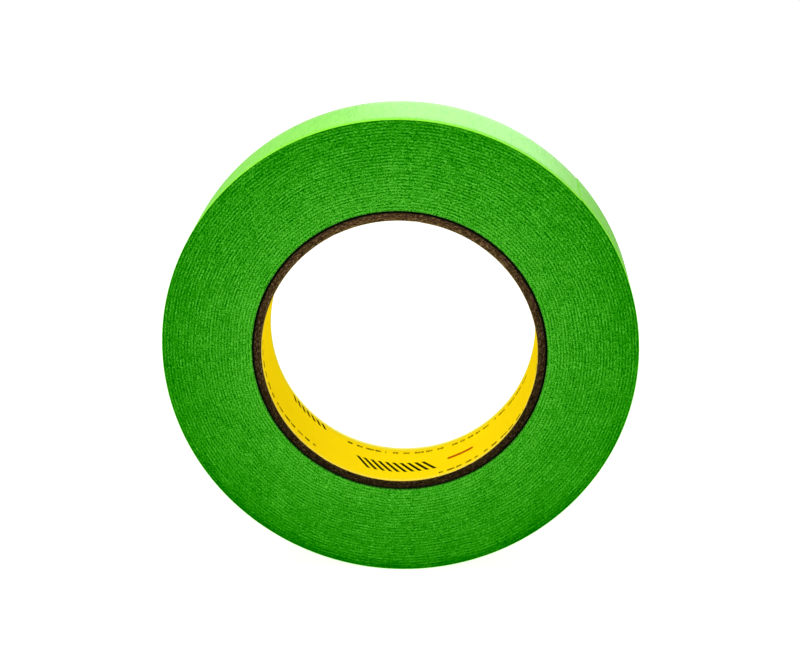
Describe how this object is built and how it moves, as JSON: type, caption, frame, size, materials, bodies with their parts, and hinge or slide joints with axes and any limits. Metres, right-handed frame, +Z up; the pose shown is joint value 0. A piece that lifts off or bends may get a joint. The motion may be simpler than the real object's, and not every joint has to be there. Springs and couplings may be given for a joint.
{
  "type": "masking tape roll",
  "caption": "Roll of green crepe paper masking tape on a brown paperboard core with a yellow printed liner, standing on its rim, with a free end that peels back.",
  "frame": {"origin": "centre of the core's bore, half way across the tape's width", "axes": "+Y along the bore axis, away from the printed front; +Z up, towards the top of the rim; the tape's free end lies up and to +X"},
  "size_m": [0.1317, 0.024, 0.1316],
  "materials": {
    "printed_liner": "satin",
    "paperboard": "matte",
    "tape_edge": "matte",
    "crepe_backing": "satin",
    "adhesive": "gloss"
  },
  "bodies": {
    "roll": {"core_liner": "printed_liner", "core_ply_1": "paperboard", "core_ply_2": "paperboard", "core_ply_3": "paperboard", "core_ply_4": "paperboard", "core_ply_5": "paperboard", "wound_tape": "tape_edge", "outer_lap_backing": "crepe_backing", "outer_lap_adhesive": "adhesive"},
    "tail_root": {"tail_root_backing": "crepe_backing", "tail_root_adhesive": "adhesive"},
    "tail_mid": {"tail_mid_backing": "crepe_backing", "tail_mid_adhesive": "adhesive"},
    "tail_tip": {"tail_tip_backing": "crepe_backing", "tail_tip_adhesive": "adhesive"}
  },
  "joints": [
    {"name": "tail_root_peel", "type": "hinge", "parent": "roll", "child": "tail_root", "pos_m": [0.06138, 0, 0.02412], "axis": [0, 1, 0], "range_deg": [0, 60]},
    {"name": "tail_mid_peel", "type": "hinge", "parent": "tail_root", "child": "tail_mid", "pos_m": [0.05799, 0, 0.03142], "axis": [0, 1, 0], "range_deg": [0, 60]},
    {"name": "tail_tip_peel", "type": "hinge", "parent": "tail_mid", "child": "tail_tip", "pos_m": [0.05373, 0, 0.03825], "axis": [0, 1, 0], "range_deg": [0, 60]}
  ]
}
